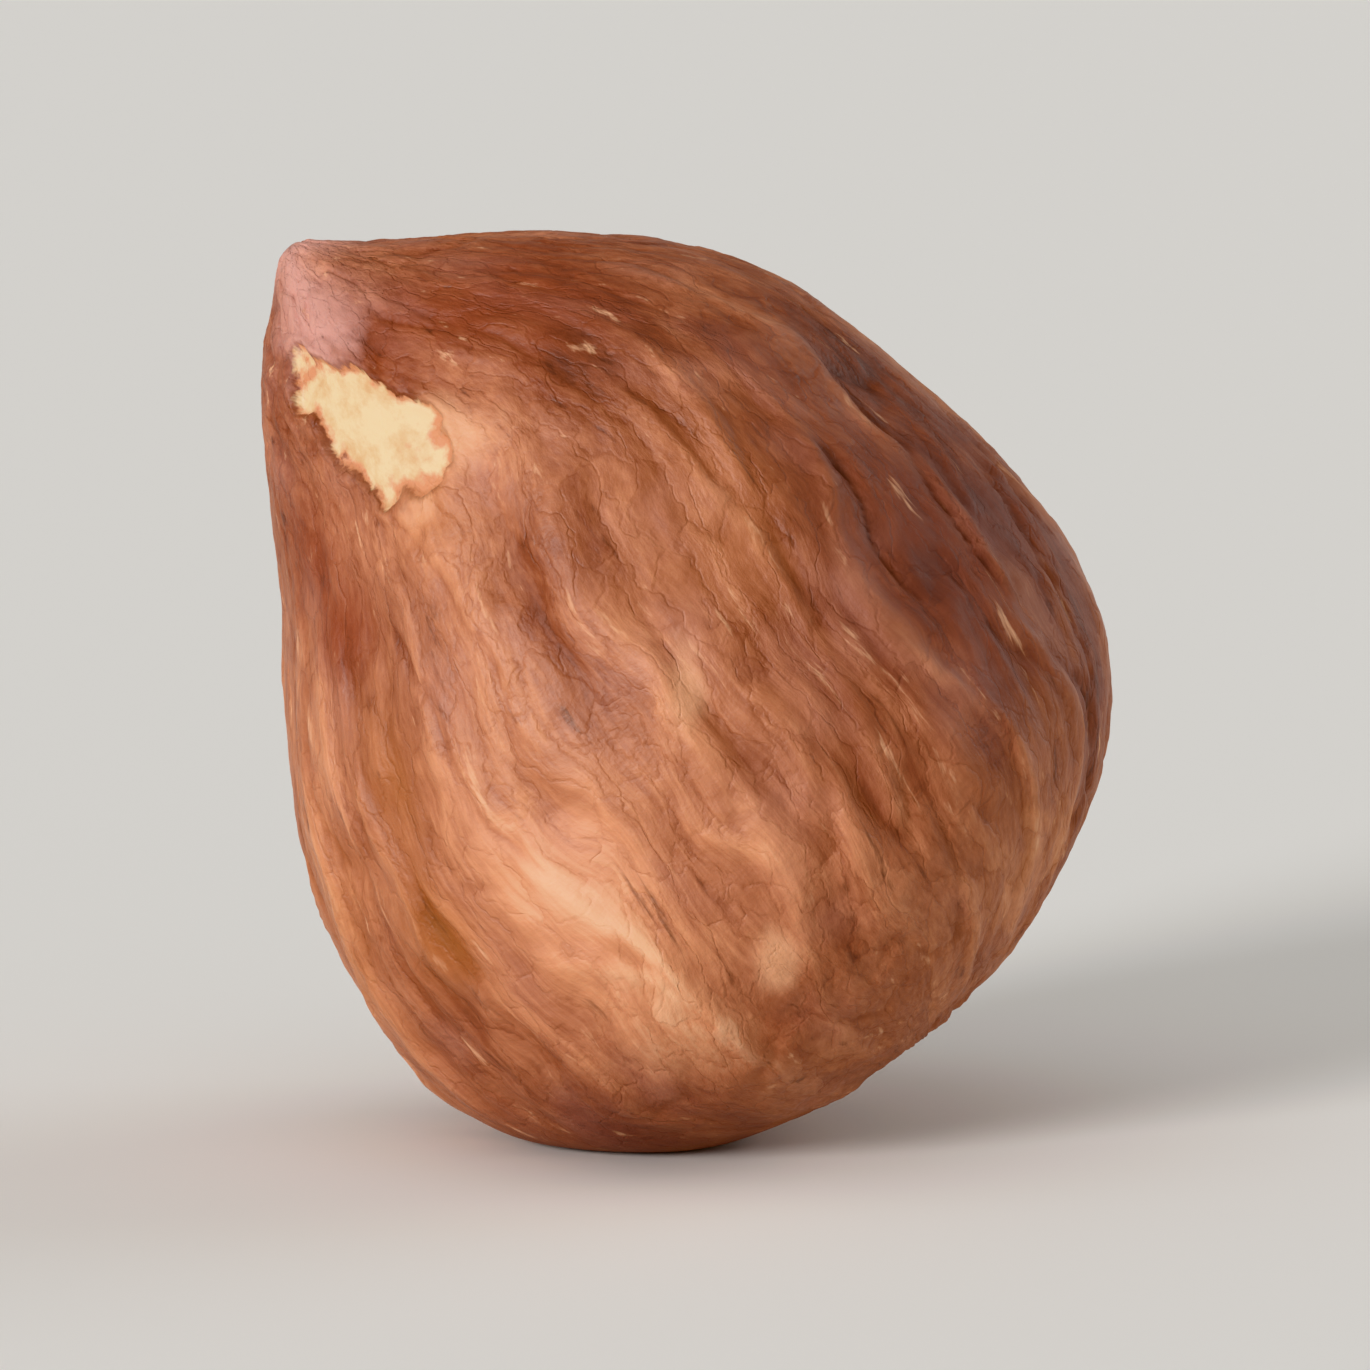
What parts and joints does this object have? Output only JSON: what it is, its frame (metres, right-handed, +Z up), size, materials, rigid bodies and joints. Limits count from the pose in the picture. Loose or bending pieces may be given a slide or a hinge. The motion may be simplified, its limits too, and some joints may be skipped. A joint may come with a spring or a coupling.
{
  "type": "shelled hazelnut kernel",
  "caption": "Whole shelled hazelnut in its brown skin: a stout teardrop with a pale bare tip, lengthwise ridges and a rounded base, leaning on a small flat spot.",
  "frame": {"origin": "middle of the small flat spot that the kernel rests on, at the height of the resting surface", "axes": "+Z up, the front faces -Y, and the pointed tip leans over to -X, 37 degrees from upright"},
  "size_m": [0.0121, 0.0114, 0.0129],
  "materials": {
    "kernel_skin": "satin"
  },
  "bodies": {
    "root": {"kernel": "kernel_skin"}
  },
  "joints": []
}
